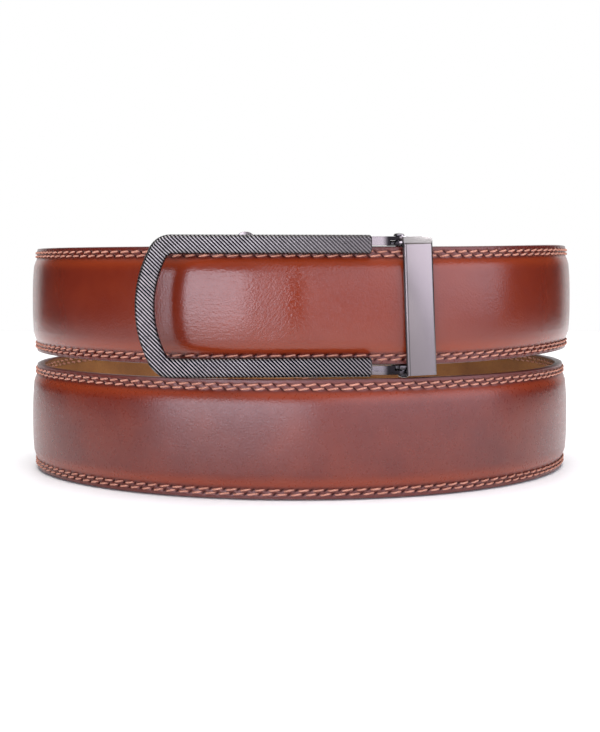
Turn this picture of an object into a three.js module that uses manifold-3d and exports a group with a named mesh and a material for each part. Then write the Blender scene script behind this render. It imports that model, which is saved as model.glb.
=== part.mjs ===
// A ratchet belt, buckled and coiled twice, standing on the edge of its lower turn.
// Millimetres, +Z up, the buckle faces -Y. Turns are in degrees along the strap, seen from above
// they run from the front to the right, the back and the left.
import * as THREE from 'three';
import { mergeVertices } from 'three/addons/utils/BufferGeometryUtils.js';
import Module from 'manifold-3d';

// Strap
const STRAP_WIDTH = 35;
const CROWN_LEATHER = 2.8;
const MARGIN_LEATHER = 1.4;
const MARGIN_WIDTH = 4.1;
const EDGE_ROUNDING = 0.35;
const LINING_THICKNESS = 1.1;
const LINING_INSET = 0.3;
const BOND_GAP = 0.1;
const TIP_LENGTH = 22;
const TAIL_PAST_KEEPER = 125;

// Coil, measured on the line where leather and lining meet
const COIL_RADIUS = 91.2;
const FLAT_HALF_LENGTH = 24;
const FLAT_CORNER_RADIUS = 35;
const FLAT_YAW = 5;
const COIL_SHIFT = 1.1;
const INNER_STRAND_INSET = 6;
const CLAMPED_STRAND_INSET = 7.5;
const TAIL_RISE = 1.1;
const TURN_STEP = 5;
const FINE_REACH = 30;

// Where each stretch of the coil begins and ends, in turns of the strap
const CLAMP_BLEND = [32, 62];
const DESCENT = [120, 240];
const INSET_RETURN = [240, 300];
const ASCENT = [480, 600];
const TAIL_BLEND = [742, 792];
const UPPER_FRONT = 720;

// Ratchet track
const TRACK_WIDTH = 9;
const TRACK_FROM_TIP = 38;
const TRACK_LENGTH = 200;
const TRACK_BASE = 0.5;
const TOOTH_HEIGHT = 0.7;
const TOOTH_PITCH = 5;
const TOOTH_STEEP = 0.3;
const TRACK_GAP = 0.2;

// Buckle frame
const FRAME_HEIGHT = 41.7;
const FRAME_REACH_LEFT = 56.2;
const FRAME_REACH_RIGHT = 12.9;
const FRAME_BAR_WIDTH = 5.8;
const FRAME_BAR_DEPTH = 3;
const FRAME_END_RADIUS = 36.9;
const FRAME_CORNER_RADIUS = 6.8;
const FRAME_REST_GAP = 0.4;

// Buckle body
const WALL_THICKNESS = 2.6;
const WALL_CLEARANCE = 0.3;
const BODY_LEFT = 29;
const BODY_RIGHT = 12;
const BODY_DEPTH_FRONT = 2.2;
const BODY_PLATE_BACK = 6.3;
const BODY_PLATE_THICKNESS = 1;
const LEVER_WINDOW_RIGHT = 8;
const LAP_THICKNESS = 1.15;
const LAP_LENGTH = 6;

// Release lever
const LEVER_PIN_X = 5;
const LEVER_PIN_Y = 4.2;
const LEVER_PIN_RADIUS = 0.9;
const LEVER_TAB_X = 23.8;
const LEVER_TAB_RADIUS = 3.1;
const LEVER_TAB_TOP = 21.9;
const LEVER_THICKNESS = 1;
const LEVER_HALF_HEIGHT = 9;
const KNUCKLE_RADIUS = 1.9;
const KNUCKLE_LENGTH = 3;
const PAWL_X = 14;
const PAWL_REACH = 1;
const PAWL_BASE = 1.7;
const PAWL_TIP = 0.4;
const LEVER_SWING_ROOM = 0.8;

// Keeper and clamp
const KEEPER_X = 26.6;
const KEEPER_WIDTH = 8.8;
const KEEPER_THICKNESS = 1.7;
const KEEPER_BEVEL = 0.5;
const KEEPER_BEND_HEIGHT = 2.3;
const KEEPER_BEND_DEPTH = 1.1;
const KEEPER_LEAN = 1.9;
const KEEPER_GAP = 0.8;
const EAR_WIDTH = 5.3;
const CLAMP_TURNS = [19.4, 26.2];
const CLAMP_WALL = 1.1;
const CLAMP_GAP = 0.3;
const RIVET_X = 22.3;
const RIVET_Y = 0.5;
const RIVET_RADIUS = 1.1;
const RIVET_HEAD_RADIUS = 1.65;
const RIVET_HEAD_HEIGHT = 0.9;
const PIN_CLEARANCE = 0.3;
const ROUND_SIDES = 16;
const CUT_PAST = 1;
const PAST_TURNS = 1;
const JOIN_DEPTH = 1;

// The raised crown between the stitched margins: how far across from the margin to the middle,
// and how far up from the margin to the crown
const CROWN_SECTION = [
  { across: 0, rise: 0 },
  { across: 0.12, rise: 0.52 },
  { across: 0.44, rise: 0.88 },
  { across: 1, rise: 1 },
];

// The rounded tail tip: how far along the tip, and how much of the width is left
const TIP_SECTIONS = [
  { along: 0.3, width: 0.95 },
  { along: 0.6, width: 0.79 },
  { along: 0.82, width: 0.57 },
  { along: 0.95, width: 0.33 },
  { along: 1, width: 0.16 },
];

// The frame bar's section: across from its inner to its outer edge, and forward from its back
const FRAME_SECTION = [
  { across: 0, forward: 0 },
  { across: 0, forward: 0.62 },
  { across: 0.12, forward: 0.84 },
  { across: 0.4, forward: 1 },
  { across: 0.7, forward: 0.97 },
  { across: 0.9, forward: 0.74 },
  { across: 1, forward: 0.4 },
  { across: 1, forward: 0 },
];

// Values that follow from the sizes above
const degrees = THREE.MathUtils.degToRad;
const HALF_WIDTH = STRAP_WIDTH / 2;
const LOWER_Z = HALF_WIDTH;
const UPPER_Z = STRAP_WIDTH + FRAME_REST_GAP + FRAME_HEIGHT / 2;
const LINING_BACK = BOND_GAP + LINING_THICKNESS;
const CORNER_CENTRE = COIL_RADIUS - FLAT_CORNER_RADIUS;
const FLAT_CORNER_TURN = Math.asin(FLAT_HALF_LENGTH / CORNER_CENTRE);
const FLAT_DISTANCE = FLAT_CORNER_RADIUS + CORNER_CENTRE * Math.cos(FLAT_CORNER_TURN);
const TRACK_BACK = LINING_BACK + TRACK_GAP;
const TRACK_ROOT = TRACK_BACK + TRACK_BASE;
const WALL_INSIDE = HALF_WIDTH + WALL_CLEARANCE;
const WALL_OUTSIDE = WALL_INSIDE + WALL_THICKNESS;
const FRAME_BACK = BODY_DEPTH_FRONT + PIN_CLEARANCE;
const PLATE_INSIDE = BODY_PLATE_BACK - BODY_PLATE_THICKNESS;
const LEVER_FRONT = LEVER_PIN_Y - LEVER_THICKNESS;
const TRACK_VALLEY_X = -PAWL_X + PIN_CLEARANCE;

const wasm = await Module();
wasm.setup();

function manifoldOf(geometry) {
  const bare = geometry.clone();
  bare.deleteAttribute('normal');
  bare.deleteAttribute('uv');
  const merged = mergeVertices(bare, 1e-4);
  return new wasm.Manifold(new wasm.Mesh({
    numProp: 3,
    vertProperties: new Float32Array(merged.attributes.position.array),
    triVerts: new Uint32Array(merged.index.array),
  }));
}

function geometryOf(manifold) {
  const mesh = manifold.getMesh();
  const geometry = new THREE.BufferGeometry();
  geometry.setAttribute('position', new THREE.BufferAttribute(mesh.vertProperties, 3));
  geometry.setIndex(new THREE.BufferAttribute(mesh.triVerts, 1));
  return geometry;
}

function joined(geometries) {
  const solids = geometries.map(manifoldOf);
  return geometryOf(solids.reduce((whole, solid) => whole.add(solid)));
}

function cut(geometry, cutters) {
  const solid = manifoldOf(geometry);
  return geometryOf(cutters.map(manifoldOf).reduce((left, cutter) => left.subtract(cutter), solid));
}

function box(x, y, z) {
  const geometry = new THREE.BoxGeometry(x[1] - x[0], y[1] - y[0], z[1] - z[0]);
  return geometry.translate((x[0] + x[1]) / 2, (y[0] + y[1]) / 2, (z[0] + z[1]) / 2);
}

// An upright round bar at x, y between two heights
function post(x, y, radius, z) {
  const geometry = new THREE.CylinderGeometry(radius, radius, z[1] - z[0], ROUND_SIDES);
  return geometry.rotateX(Math.PI / 2).translate(x, y, (z[0] + z[1]) / 2);
}

// A closed solid through rings of points that all have the same outline order. Each four-sided
// stretch is split the same way across, so that layers which twist together stay apart.
function loft(rings, outline) {
  const count = outline.length;
  const positions = rings.flat().flatMap((point) => point.toArray());
  const faces = [];
  for (let ring = 0; ring < rings.length - 1; ring += 1) {
    for (let side = 0; side < count; side += 1) {
      const next = (side + 1) % count;
      const a = ring * count + side;
      const b = ring * count + next;
      if (outline[next].y >= outline[side].y) {
        faces.push([a, b, b + count], [a, b + count, a + count]);
      } else {
        faces.push([a, b, a + count], [b, b + count, a + count]);
      }
    }
  }
  const last = (rings.length - 1) * count;
  const clockwise = THREE.ShapeUtils.isClockWise(outline);
  const contour = clockwise ? [...outline].reverse() : outline;
  for (const corners of THREE.ShapeUtils.triangulateShape(contour, [])) {
    const [a, b, c] = clockwise ? corners.map((corner) => count - 1 - corner).reverse() : corners;
    faces.push([c, b, a], [a + last, b + last, c + last]);
  }
  const geometry = new THREE.BufferGeometry();
  geometry.setAttribute('position', new THREE.Float32BufferAttribute(positions, 3));
  geometry.setIndex(faces.flat());
  return facingOut(geometry);
}

// Turns every face round when the signed volume says that they point inwards
function facingOut(geometry) {
  const corner = [new THREE.Vector3(), new THREE.Vector3(), new THREE.Vector3()];
  const index = geometry.index.array;
  let volume = 0;
  for (let face = 0; face < index.length; face += 3) {
    corner.forEach((point, i) => point.fromBufferAttribute(geometry.attributes.position, index[face + i]));
    volume += corner[0].dot(corner[1].cross(corner[2]));
  }
  if (volume < 0) {
    for (let face = 0; face < index.length; face += 3) {
      [index[face], index[face + 1]] = [index[face + 1], index[face]];
    }
  }
  return geometry;
}

function eased(value, [from, to]) {
  return THREE.MathUtils.smoothstep(value, from, to);
}

// Plan of one turn: a circle, flattened behind the buckle on the upper turn. The angle counts from
// the middle of the flat. Gives the distance from the coil's centre and the direction of the normal.
function planAt(angle, flattened) {
  const away = Math.abs(angle);
  if (!flattened || away >= FLAT_CORNER_TURN) {
    return { distance: COIL_RADIUS, normal: angle };
  }
  if (away <= Math.atan(FLAT_HALF_LENGTH / FLAT_DISTANCE)) {
    return { distance: FLAT_DISTANCE / Math.cos(away), normal: 0 };
  }
  const short = CORNER_CENTRE * Math.sin(FLAT_CORNER_TURN - away);
  const distance = CORNER_CENTRE * Math.cos(FLAT_CORNER_TURN - away)
    + Math.sqrt(FLAT_CORNER_RADIUS ** 2 - short ** 2);
  const normal = Math.asin((distance * Math.sin(away) - FLAT_HALF_LENGTH) / FLAT_CORNER_RADIUS);
  return { distance, normal: Math.sign(angle) * normal };
}

function insetAt(turn) {
  const blended = THREE.MathUtils.lerp(CLAMPED_STRAND_INSET, INNER_STRAND_INSET, eased(turn, CLAMP_BLEND));
  return blended * (1 - eased(turn, INSET_RETURN));
}

function heightAt(turn) {
  const drop = eased(turn, DESCENT) - eased(turn, ASCENT);
  return UPPER_Z - (UPPER_Z - LOWER_Z) * drop + TAIL_RISE * eased(turn, TAIL_BLEND);
}

// The point on the strap's bond line at a turn
function routePoint(turn) {
  const fromFlat = degrees(THREE.MathUtils.euclideanModulo(turn - FLAT_YAW + 180, 360) - 180);
  const upper = turn < DESCENT[1] || turn > ASCENT[0];
  const plan = planAt(fromFlat, upper);
  const place = fromFlat + degrees(FLAT_YAW);
  const facing = plan.normal + degrees(FLAT_YAW);
  const inset = insetAt(turn);
  const z = heightAt(turn);
  const shift = COIL_SHIFT * (z - LOWER_Z) / (UPPER_Z - LOWER_Z);
  return new THREE.Vector3(
    plan.distance * Math.sin(place) - inset * Math.sin(facing) + shift,
    -plan.distance * Math.cos(place) + inset * Math.cos(facing),
    z,
  );
}

// The strap's own axes at a turn: along, outwards and across, as a ribbon that lies on the coil
function routeFrame(turn) {
  const point = routePoint(turn);
  const along = routePoint(turn + 0.5).sub(routePoint(turn - 0.5)).normalize();
  const outwards = along.clone().cross(new THREE.Vector3(0, 0, 1)).normalize();
  const across = outwards.clone().cross(along);
  return { point, along, outwards, across };
}

// Length along the tail's route from the middle of the flat to a turn, and the turn at a length
const ROUTE_STEP = 0.5;
const FLAT_MIDDLE = UPPER_FRONT + FLAT_YAW;

function turnAtLength(length) {
  const direction = Math.sign(length);
  let turn = FLAT_MIDDLE;
  let covered = 0;
  while (covered < Math.abs(length)) {
    const next = turn + direction * ROUTE_STEP;
    const piece = routePoint(turn).distanceTo(routePoint(next));
    const share = Math.min(1, (Math.abs(length) - covered) / piece);
    turn += direction * ROUTE_STEP * share;
    covered += piece;
  }
  return turn;
}

// A ribbon along the strap's route: the outline's x is outwards and its y is across
function ribbon(turns, outline, widthShare = () => 1) {
  const rings = turns.map((turn) => {
    const frame = routeFrame(turn);
    return outline.map((corner) => frame.point.clone()
      .addScaledVector(frame.outwards, corner.x)
      .addScaledVector(frame.across, corner.y * widthShare(turn)));
  });
  return loft(rings, outline);
}

function evenTurns(from, to, step) {
  const count = Math.max(1, Math.round((to - from) / step));
  return Array.from({ length: count + 1 }, (_, i) => from + (to - from) * i / count);
}

// Turns along the strap, closer together where it bends round the corners of the flat
function strapTurnsBetween(from, to) {
  const closer = [FLAT_MIDDLE - FINE_REACH, FLAT_MIDDLE + FINE_REACH];
  const turns = [
    ...evenTurns(from, FLAT_YAW + FINE_REACH, TURN_STEP / 2),
    ...evenTurns(FLAT_YAW + FINE_REACH, closer[0], TURN_STEP),
    ...evenTurns(closer[0], closer[1], TURN_STEP / 2),
    ...evenTurns(closer[1], to, TURN_STEP),
  ];
  return turns.filter((turn, i) => i === 0 || turn > turns[i - 1]);
}

const TIP_END = turnAtLength(KEEPER_X + KEEPER_WIDTH / 2 + TAIL_PAST_KEEPER);
const TIP_START = turnAtLength(KEEPER_X + KEEPER_WIDTH / 2 + TAIL_PAST_KEEPER - TIP_LENGTH);
const STRAP_START = CLAMP_TURNS[0] + PIN_CLEARANCE;
const STRAP_TURNS = [
  ...strapTurnsBetween(STRAP_START, TIP_START),
  ...TIP_SECTIONS.map((section) => TIP_START + (TIP_END - TIP_START) * section.along),
];

function strapWidthShare(turn) {
  const along = (turn - TIP_START) / (TIP_END - TIP_START);
  const section = TIP_SECTIONS.find((row) => Math.abs(row.along - along) < 1e-6);
  return section ? section.width : 1;
}

function mirroredOutline(half) {
  const other = half.map((corner) => new THREE.Vector2(corner.x, -corner.y)).reverse();
  return [...half, ...other.filter((corner) => corner.y !== 0)];
}

function leatherOutline() {
  const crownHalf = HALF_WIDTH - MARGIN_WIDTH;
  const half = [
    new THREE.Vector2(BOND_GAP, -HALF_WIDTH),
    new THREE.Vector2(MARGIN_LEATHER - EDGE_ROUNDING, -HALF_WIDTH),
    new THREE.Vector2(MARGIN_LEATHER, EDGE_ROUNDING - HALF_WIDTH),
    ...CROWN_SECTION.map(({ across, rise }) => new THREE.Vector2(
      MARGIN_LEATHER + (CROWN_LEATHER - MARGIN_LEATHER) * rise,
      (across - 1) * crownHalf,
    )),
  ];
  return mirroredOutline(half);
}

function plateOutline(inside, outside, half) {
  return [
    new THREE.Vector2(inside, -half),
    new THREE.Vector2(outside, -half),
    new THREE.Vector2(outside, half),
    new THREE.Vector2(inside, half),
  ];
}

function makeStrap() {
  return ribbon(STRAP_TURNS, leatherOutline(), strapWidthShare);
}

function makeLining() {
  const outline = plateOutline(-LINING_BACK, -BOND_GAP, HALF_WIDTH - LINING_INSET);
  return ribbon(STRAP_TURNS, outline, strapWidthShare);
}

// Each tooth falls from its tip along a long ramp and rises again in a short steep face
function makeTrack() {
  const tipLength = KEEPER_X + KEEPER_WIDTH / 2 + TAIL_PAST_KEEPER;
  const last = tipLength - TRACK_FROM_TIP;
  const first = last - TRACK_LENGTH;
  const teeth = [];
  const firstTooth = Math.ceil((first - TRACK_VALLEY_X) / TOOTH_PITCH);
  const lastTooth = Math.floor((last - TRACK_VALLEY_X) / TOOTH_PITCH);
  for (let tooth = firstTooth; tooth <= lastTooth; tooth += 1) {
    const valley = TRACK_VALLEY_X + tooth * TOOTH_PITCH;
    teeth.push({ length: valley, height: 0 }, { length: valley + TOOTH_STEEP, height: TOOTH_HEIGHT });
  }
  const outline = plateOutline(-TRACK_ROOT, -TRACK_BACK, TRACK_WIDTH / 2);
  const rings = teeth.map(({ length, height }) => {
    const frame = routeFrame(turnAtLength(length));
    return outline.map((corner) => frame.point.clone()
      .addScaledVector(frame.outwards, corner.x === -TRACK_ROOT ? corner.x - height : corner.x)
      .addScaledVector(frame.across, corner.y));
  });
  return loft(rings, outline);
}

// The frame's outer line from the upper right end, round the left, to the lower right end.
// Buckle pieces are drawn with x to the right, y into the coil and z up from the strap's middle.
function frameRoute() {
  const half = FRAME_HEIGHT / 2;
  const reach = FRAME_END_RADIUS - FRAME_CORNER_RADIUS;
  const spread = Math.asin((half - FRAME_CORNER_RADIUS) / reach);
  const endCentre = FRAME_END_RADIUS - FRAME_REACH_LEFT;
  const corner = { x: endCentre - reach * Math.cos(spread), z: half - FRAME_CORNER_RADIUS };
  const route = [{ x: FRAME_REACH_RIGHT, z: half, normal: Math.PI / 2 }];
  const cornerSteps = 6;
  const endSteps = 8;
  for (let i = 0; i <= cornerSteps; i += 1) {
    const normal = Math.PI / 2 + (Math.PI / 2 - spread) * i / cornerSteps;
    route.push({
      x: corner.x + FRAME_CORNER_RADIUS * Math.cos(normal),
      z: corner.z + FRAME_CORNER_RADIUS * Math.sin(normal),
      normal,
    });
  }
  for (let i = 1; i <= endSteps / 2; i += 1) {
    const normal = Math.PI - spread + 2 * spread * i / endSteps;
    route.push({
      x: endCentre + FRAME_END_RADIUS * Math.cos(normal),
      z: FRAME_END_RADIUS * Math.sin(normal),
      normal,
    });
  }
  const lower = route.slice(0, -1).reverse().map(({ x, z, normal }) => ({ x, z: -z, normal: -normal }));
  return [...route, ...lower];
}

function makeFrame() {
  const outline = FRAME_SECTION.map(({ across, forward }) => new THREE.Vector2(
    (across - 1) * FRAME_BAR_WIDTH,
    forward * FRAME_BAR_DEPTH,
  ));
  const rings = frameRoute().map(({ x, z, normal }) => outline.map((corner) => new THREE.Vector3(
    x + corner.x * Math.cos(normal),
    -FRAME_BACK - corner.y,
    z + corner.x * Math.sin(normal),
  )));
  return loft(rings, outline);
}

function rivetPlace(side) {
  return { x: RIVET_X - side * WALL_OUTSIDE * Math.tan(degrees(KEEPER_LEAN)), y: RIVET_Y };
}

// A channel: two side walls and a back plate, lapped at the right for the clamp's ears
function makeBody() {
  const parts = [];
  const cutters = [];
  const reach = [-WALL_OUTSIDE - CUT_PAST, WALL_OUTSIDE + CUT_PAST];
  parts.push(box([-BODY_LEFT, BODY_RIGHT], [PLATE_INSIDE, BODY_PLATE_BACK], [-WALL_OUTSIDE, WALL_OUTSIDE]));
  for (const side of [1, -1]) {
    const inside = side * WALL_INSIDE;
    const outside = side * WALL_OUTSIDE;
    const lap = outside - side * LAP_THICKNESS;
    const rivet = rivetPlace(side);
    const lapStart = rivet.x - LAP_LENGTH / 2;
    parts.push(box([-BODY_LEFT, lapStart], [-BODY_DEPTH_FRONT, BODY_PLATE_BACK], ordered(inside, outside)));
    parts.push(box(
      [lapStart - JOIN_DEPTH, rivet.x],
      [-BODY_DEPTH_FRONT, BODY_DEPTH_FRONT + 2 * RIVET_Y],
      ordered(lap, outside),
    ));
    parts.push(post(rivet.x, rivet.y, BODY_DEPTH_FRONT + RIVET_Y, ordered(lap, outside)));
    cutters.push(post(rivet.x, rivet.y, RIVET_RADIUS + PIN_CLEARANCE, reach));
  }
  cutters.push(post(LEVER_PIN_X, LEVER_PIN_Y, LEVER_PIN_RADIUS + PIN_CLEARANCE, reach));
  const window = LEVER_HALF_HEIGHT + LEVER_SWING_ROOM;
  const behind = [LEVER_FRONT - 2 * PIN_CLEARANCE, BODY_PLATE_BACK + CUT_PAST];
  cutters.push(box([-BODY_LEFT - CUT_PAST, LEVER_WINDOW_RIGHT], behind, [-window, window]));
  const slotRight = -LEVER_TAB_X + LEVER_TAB_RADIUS + LEVER_SWING_ROOM;
  cutters.push(box([-BODY_LEFT - CUT_PAST, slotRight], behind, [0, WALL_OUTSIDE + CUT_PAST]));
  return cut(joined(parts), cutters);
}

function ordered(a, b) {
  return a < b ? [a, b] : [b, a];
}

// The lever's plate hangs on two knuckles, its pawl reaches into the track and its tab stands up
function makeLever() {
  const back = LEVER_FRONT + LEVER_THICKNESS;
  const depth = [LEVER_FRONT, back];
  const tabLeft = -LEVER_TAB_X - LEVER_TAB_RADIUS;
  const tabRight = -LEVER_TAB_X + LEVER_TAB_RADIUS;
  const tabCentre = LEVER_TAB_TOP - LEVER_TAB_RADIUS;
  const knuckleStart = LEVER_HALF_HEIGHT - KNUCKLE_LENGTH;
  const plateEnd = LEVER_PIN_X - KNUCKLE_RADIUS;
  const tab = new THREE.CylinderGeometry(
    LEVER_TAB_RADIUS,
    LEVER_TAB_RADIUS,
    LEVER_THICKNESS,
    2 * ROUND_SIDES,
  );
  const parts = [
    box([tabLeft, plateEnd], depth, [-LEVER_HALF_HEIGHT, LEVER_HALF_HEIGHT]),
    box([tabLeft, tabRight], depth, [LEVER_HALF_HEIGHT - JOIN_DEPTH, tabCentre]),
    tab.translate(-LEVER_TAB_X, (LEVER_FRONT + back) / 2, tabCentre),
  ];
  const holes = [];
  for (const side of [1, -1]) {
    const span = ordered(side * knuckleStart, side * LEVER_HALF_HEIGHT);
    parts.push(post(LEVER_PIN_X, LEVER_PIN_Y, KNUCKLE_RADIUS, span));
    parts.push(box([plateEnd - JOIN_DEPTH, LEVER_PIN_X], depth, span));
  }
  holes.push(post(LEVER_PIN_X, LEVER_PIN_Y, LEVER_PIN_RADIUS + PIN_CLEARANCE, [-WALL_OUTSIDE, WALL_OUTSIDE]));
  const pawl = new THREE.Shape([
    new THREE.Vector2(-PAWL_X, LEVER_FRONT + LEVER_THICKNESS / 2),
    new THREE.Vector2(-PAWL_X - PAWL_BASE, LEVER_FRONT + LEVER_THICKNESS / 2),
    new THREE.Vector2(-PAWL_X - PAWL_BASE, LEVER_FRONT),
    new THREE.Vector2(-PAWL_X - PAWL_TIP, LEVER_FRONT - PAWL_REACH),
    new THREE.Vector2(-PAWL_X, LEVER_FRONT - PAWL_REACH),
  ]);
  const pawlHalf = TRACK_WIDTH / 2 - PIN_CLEARANCE;
  const wedge = new THREE.ExtrudeGeometry(pawl, { depth: 2 * pawlHalf, bevelEnabled: false });
  parts.push(wedge.translate(0, 0, -pawlHalf));
  return cut(joined(parts), holes);
}

function makeLeverPin() {
  const half = WALL_OUTSIDE - PIN_CLEARANCE;
  return post(LEVER_PIN_X, LEVER_PIN_Y, LEVER_PIN_RADIUS, [-half, half]);
}

// A rivet through the wall's lap and the clamp's ear, with a domed head outside
function makeRivet(side) {
  const place = rivetPlace(side);
  const seat = WALL_OUTSIDE + PIN_CLEARANCE / 2;
  const profile = [
    new THREE.Vector2(0, WALL_INSIDE),
    new THREE.Vector2(RIVET_RADIUS, WALL_INSIDE),
    new THREE.Vector2(RIVET_RADIUS, seat),
    new THREE.Vector2(RIVET_HEAD_RADIUS, seat),
    new THREE.Vector2(RIVET_HEAD_RADIUS, seat + RIVET_HEAD_HEIGHT * 0.35),
    new THREE.Vector2(RIVET_HEAD_RADIUS * 0.78, seat + RIVET_HEAD_HEIGHT * 0.78),
    new THREE.Vector2(0, seat + RIVET_HEAD_HEIGHT),
  ];
  const rivet = new THREE.LatheGeometry(profile, ROUND_SIDES).rotateX(side * Math.PI / 2);
  return rivet.translate(place.x, place.y, 0);
}


// The buckle's own frame: its origin on the bond line at the middle of the flat
const buckle = new THREE.Group();
buckle.rotation.z = degrees(FLAT_YAW);
buckle.position.set(
  FLAT_DISTANCE * Math.sin(degrees(FLAT_YAW)) + COIL_SHIFT,
  -FLAT_DISTANCE * Math.cos(degrees(FLAT_YAW)),
  UPPER_Z,
);
buckle.updateMatrix();

// A wedge off the keeper's front, where its top bends back
function keeperBend(front) {
  const past = 1 + CUT_PAST / KEEPER_BEND_HEIGHT;
  const foot = WALL_OUTSIDE - KEEPER_BEND_HEIGHT;
  const wedge = new THREE.Shape([
    new THREE.Vector2(front - CUT_PAST, foot),
    new THREE.Vector2(front, foot),
    new THREE.Vector2(front + KEEPER_BEND_DEPTH * past, foot + KEEPER_BEND_HEIGHT * past),
    new THREE.Vector2(front - CUT_PAST, foot + KEEPER_BEND_HEIGHT * past),
  ]);
  const depth = KEEPER_WIDTH + 2 * CUT_PAST;
  const geometry = new THREE.ExtrudeGeometry(wedge, { depth, bevelEnabled: false });
  const turned = new THREE.Matrix4().makeBasis(
    new THREE.Vector3(0, 1, 0),
    new THREE.Vector3(0, 0, 1),
    new THREE.Vector3(1, 0, 0),
  );
  return geometry.applyMatrix4(turned.setPosition(-depth / 2, 0, 0));
}

// The keeper's bar with its ears: square to the tail where it passes, leaning a little to the left
function makeKeeperBar() {
  const back = -CROWN_LEATHER - KEEPER_GAP;
  const front = back - KEEPER_THICKNESS;
  const half = KEEPER_WIDTH / 2;
  const section = new THREE.Shape([
    new THREE.Vector2(-half, back),
    new THREE.Vector2(-half, front + KEEPER_BEVEL),
    new THREE.Vector2(KEEPER_BEVEL - half, front),
    new THREE.Vector2(half - KEEPER_BEVEL, front),
    new THREE.Vector2(half, front + KEEPER_BEVEL),
    new THREE.Vector2(half, back),
  ]);
  const bar = new THREE.ExtrudeGeometry(section, { depth: 2 * WALL_OUTSIDE, bevelEnabled: false });
  bar.translate(0, 0, -WALL_OUTSIDE);
  const earBack = CLAMPED_STRAND_INSET + LINING_BACK + CLAMP_GAP + CLAMP_WALL;
  const ears = [1, -1].map((side) => box(
    [half - EAR_WIDTH, half],
    [front + KEEPER_BEVEL, earBack],
    ordered(side * WALL_INSIDE, side * WALL_OUTSIDE),
  ));
  const keeper = cut(joined([bar, ...ears]), [keeperBend(front)]).rotateY(-degrees(KEEPER_LEAN));
  const frame = routeFrame(turnAtLength(KEEPER_X));
  const inwards = frame.outwards.clone().negate();
  const place = new THREE.Matrix4().makeBasis(frame.along, inwards, frame.across);
  return keeper.applyMatrix4(place.setPosition(frame.point));
}

// A sleeve round the strap's clamped end, following its curve
function makeClampSleeve() {
  const turns = evenTurns(CLAMP_TURNS[0], CLAMP_TURNS[1], TURN_STEP / 2);
  const past = evenTurns(CLAMP_TURNS[0] - PAST_TURNS, CLAMP_TURNS[1] + PAST_TURNS, TURN_STEP / 2);
  const back = LINING_BACK + CLAMP_GAP;
  const front = CROWN_LEATHER + CLAMP_GAP;
  const outside = plateOutline(-back - CLAMP_WALL, front + CLAMP_WALL, WALL_INSIDE + CLAMP_WALL);
  const inside = plateOutline(-back, front, WALL_INSIDE);
  return cut(ribbon(turns, outside), [ribbon(past, inside)]);
}

// The tongues that reach from the keeper's ears to the rivets, inside the body's laps
function makeTongue(side) {
  const place = rivetPlace(side);
  const outer = side * (WALL_OUTSIDE - LAP_THICKNESS - PIN_CLEARANCE);
  const span = ordered(side * WALL_INSIDE, outer);
  const radius = BODY_DEPTH_FRONT + RIVET_Y - CLAMP_GAP;
  return joined([
    post(place.x, place.y, radius, span),
    box([place.x, KEEPER_X + JOIN_DEPTH], [place.y - radius, place.y + radius], span),
  ]).applyMatrix4(buckle.matrix);
}

function makeKeeperClamp() {
  const whole = joined([makeKeeperBar(), makeClampSleeve(), makeTongue(1), makeTongue(-1)]);
  const holes = [1, -1].map((side) => {
    const place = rivetPlace(side);
    const span = ordered(side * (WALL_INSIDE - CUT_PAST), side * (WALL_OUTSIDE + CUT_PAST));
    return post(place.x, place.y, RIVET_RADIUS + PIN_CLEARANCE, span).applyMatrix4(buckle.matrix);
  });
  return cut(whole, holes);
}

function material(color, roughness, metalness) {
  return new THREE.MeshStandardMaterial({ color, roughness, metalness });
}

const LEATHER = material(0x8a3a1e, 0.35, 0);
const LINING = material(0x80582f, 0.75, 0);
const TRACK = material(0x2a1d18, 0.6, 0);
const GROOVED_METAL = material(0x6f7076, 0.38, 0.9);
const SMOOTH_METAL = material(0xa39ba2, 0.3, 0.9);

function named(name, geometry, look) {
  const mesh = new THREE.Mesh(geometry, look);
  mesh.name = name;
  return mesh;
}

buckle.add(
  named('buckle_frame', makeFrame(), GROOVED_METAL),
  named('buckle_body', makeBody(), SMOOTH_METAL),
  named('release_lever', makeLever(), SMOOTH_METAL),
  named('lever_pin', makeLeverPin(), SMOOTH_METAL),
  named('clamp_rivet_top', makeRivet(1), SMOOTH_METAL),
  named('clamp_rivet_bottom', makeRivet(-1), SMOOTH_METAL),
);

const belt = new THREE.Group();
belt.add(
  named('strap', makeStrap(), LEATHER),
  named('strap_lining', makeLining(), LINING),
  named('ratchet_track', makeTrack(), TRACK),
  named('keeper_clamp', makeKeeperClamp(), SMOOTH_METAL),
  buckle,
);

// The belt stands with the middle of its box over the origin
const extent = new THREE.Box3().setFromObject(belt);
const middle = extent.getCenter(new THREE.Vector3());
belt.position.set(-middle.x, -middle.y, -extent.min.z);

export default belt;
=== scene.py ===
"""A ratchet belt, buckled and coiled twice on its edge, in a pale studio.

Lengths are in millimetres until a mesh is made, and the camera and lights are in metres.
"""
import math

import bmesh
import bpy
import numpy as np
from mathutils import Matrix, Vector


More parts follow.
